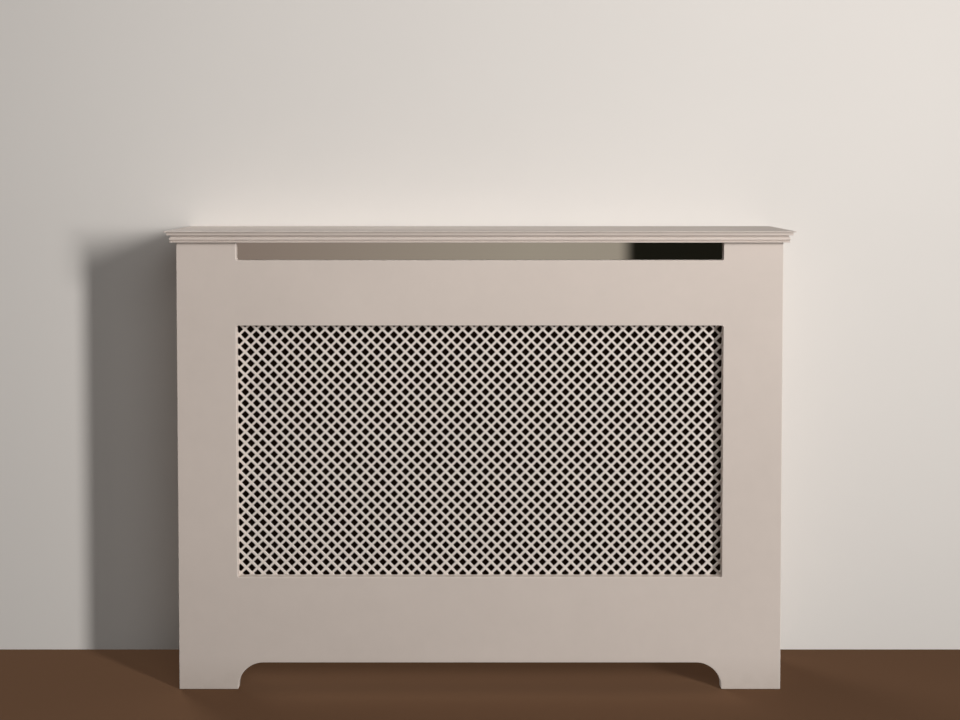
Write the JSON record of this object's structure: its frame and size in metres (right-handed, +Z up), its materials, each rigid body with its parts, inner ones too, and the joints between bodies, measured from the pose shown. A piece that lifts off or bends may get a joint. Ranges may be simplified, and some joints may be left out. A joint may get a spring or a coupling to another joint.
{
  "type": "radiator cover cabinet",
  "caption": "Free-standing cover that hides a wall radiator, with a moulded shelf, a diamond-punched grille behind a front window, a warm-air slot and an arched foot opening.",
  "frame": {"origin": "on the floor, under the middle of the overall box", "axes": "+X along the cover to the right as seen from the room, +Y towards the wall, +Z up; the front with the grille faces -Y"},
  "size_m": [1.11, 0.19, 0.82],
  "materials": {
    "cover_paint": "medium-density board in satin taupe-beige paint",
    "grille_paint": "punched thin board in the same satin paint",
    "dowel_beech": "bare fluted beech",
    "cam_zinc": "die-cast zinc, matt",
    "fitting_steel": "zinc-plated steel"
  },
  "bodies": {
    "cabinet": {"top_shelf": "cover_paint", "front_panel": "cover_paint", "left_side_panel": "cover_paint", "right_side_panel": "cover_paint", "grille_panel": "grille_paint", "cam_bolt_left_low": "fitting_steel", "cam_bolt_left_high": "fitting_steel", "cam_bolt_left_top": "fitting_steel", "cam_bolt_right_low": "fitting_steel", "cam_bolt_right_high": "fitting_steel", "cam_bolt_right_top": "fitting_steel", "dowel_left_low": "dowel_beech", "dowel_left_high": "dowel_beech", "dowel_left_top_front": "dowel_beech", "dowel_left_top_back": "dowel_beech", "dowel_left_stile": "dowel_beech", "dowel_right_low": "dowel_beech", "dowel_right_high": "dowel_beech", "dowel_right_top_front": "dowel_beech", "dowel_right_top_back": "dowel_beech", "dowel_right_stile": "dowel_beech", "grille_screw_01": "fitting_steel", "grille_screw_02": "fitting_steel", "grille_screw_03": "fitting_steel", "grille_screw_04": "fitting_steel", "grille_screw_05": "fitting_steel", "grille_screw_06": "fitting_steel", "grille_screw_07": "fitting_steel", "grille_screw_08": "fitting_steel", "grille_screw_09": "fitting_steel", "grille_screw_10": "fitting_steel", "bracket_screw_1": "fitting_steel", "bracket_screw_2": "fitting_steel", "bracket_screw_3": "fitting_steel", "bracket_screw_4": "fitting_steel", "left_wall_bracket": "fitting_steel", "right_wall_bracket": "fitting_steel"},
    "left_low_cam": {"cam_left_low": "cam_zinc"},
    "left_high_cam": {"cam_left_high": "cam_zinc"},
    "left_top_cam": {"cam_left_top": "cam_zinc"},
    "right_low_cam": {"cam_right_low": "cam_zinc"},
    "right_high_cam": {"cam_right_high": "cam_zinc"},
    "right_top_cam": {"cam_right_top": "cam_zinc"}
  },
  "joints": [
    {"name": "cam_turn_left_low", "type": "hinge", "parent": "cabinet", "child": "left_low_cam", "pos_m": [-0.5295, -0.028, 0.11], "axis": [1, 0, 0], "range_deg": [0, 180]},
    {"name": "cam_turn_left_high", "type": "hinge", "parent": "cabinet", "child": "left_high_cam", "pos_m": [-0.5295, -0.028, 0.69], "axis": [1, 0, 0], "range_deg": [0, 180]},
    {"name": "cam_turn_left_top", "type": "hinge", "parent": "cabinet", "child": "left_top_cam", "pos_m": [-0.5295, 0.035, 0.766], "axis": [1, 0, 0], "range_deg": [0, 180]},
    {"name": "cam_turn_right_low", "type": "hinge", "parent": "cabinet", "child": "right_low_cam", "pos_m": [0.5295, -0.028, 0.11], "axis": [-1, 0, 0], "range_deg": [0, 180]},
    {"name": "cam_turn_right_high", "type": "hinge", "parent": "cabinet", "child": "right_high_cam", "pos_m": [0.5295, -0.028, 0.69], "axis": [-1, 0, 0], "range_deg": [0, 180]},
    {"name": "cam_turn_right_top", "type": "hinge", "parent": "cabinet", "child": "right_top_cam", "pos_m": [0.5295, 0.035, 0.766], "axis": [-1, 0, 0], "range_deg": [0, 180]}
  ]
}
